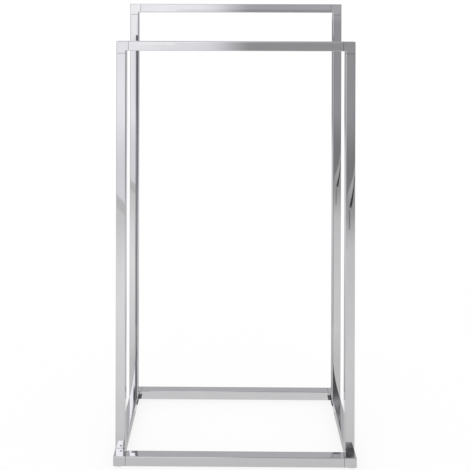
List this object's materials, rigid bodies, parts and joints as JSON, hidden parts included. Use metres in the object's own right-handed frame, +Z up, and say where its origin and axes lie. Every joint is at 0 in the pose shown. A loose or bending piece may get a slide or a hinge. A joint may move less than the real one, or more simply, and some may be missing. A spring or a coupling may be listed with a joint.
{
  "type": "towel stand",
  "caption": "Freestanding towel stand of chrome square tube: a low front frame and a taller back frame, each with a top bar for towels, on an open rectangular base.",
  "frame": {"origin": "on the floor, below the middle of the base", "axes": "+Z up, -Y towards the low front frame, +X to the right of someone facing the front frame"},
  "size_m": [0.45, 0.23, 0.858],
  "materials": {
    "chrome_tube": "polished chrome on steel tube",
    "chrome_casting": "polished chrome on cast connectors",
    "zinc_insert": "zinc-plated threaded insert",
    "zinc_fastener": "bright zinc-plated bolts",
    "steel_screw": "plain stainless grub screws",
    "foot_rubber": "matte moulded rubber"
  },
  "bodies": {
    "root": {"front_bar": "chrome_tube", "back_bar": "chrome_tube", "front_left_upright": "chrome_tube", "front_right_upright": "chrome_tube", "back_left_upright": "chrome_tube", "back_right_upright": "chrome_tube", "base_front_rail": "chrome_tube", "base_back_rail": "chrome_tube", "base_left_rail": "chrome_tube", "base_right_rail": "chrome_tube", "front_left_elbow": "chrome_casting", "front_right_elbow": "chrome_casting", "back_left_elbow": "chrome_casting", "back_right_elbow": "chrome_casting", "base_front_left_corner": "chrome_casting", "base_front_right_corner": "chrome_casting", "base_back_left_corner": "chrome_casting", "base_back_right_corner": "chrome_casting", "front_left_insert": "zinc_insert", "front_right_insert": "zinc_insert", "back_left_insert": "zinc_insert", "back_right_insert": "zinc_insert", "upright_bolts": "zinc_fastener", "upright_grub_screws": "steel_screw", "front_left_foot": "foot_rubber", "front_right_foot": "foot_rubber", "back_left_foot": "foot_rubber", "back_right_foot": "foot_rubber"}
  },
  "joints": []
}
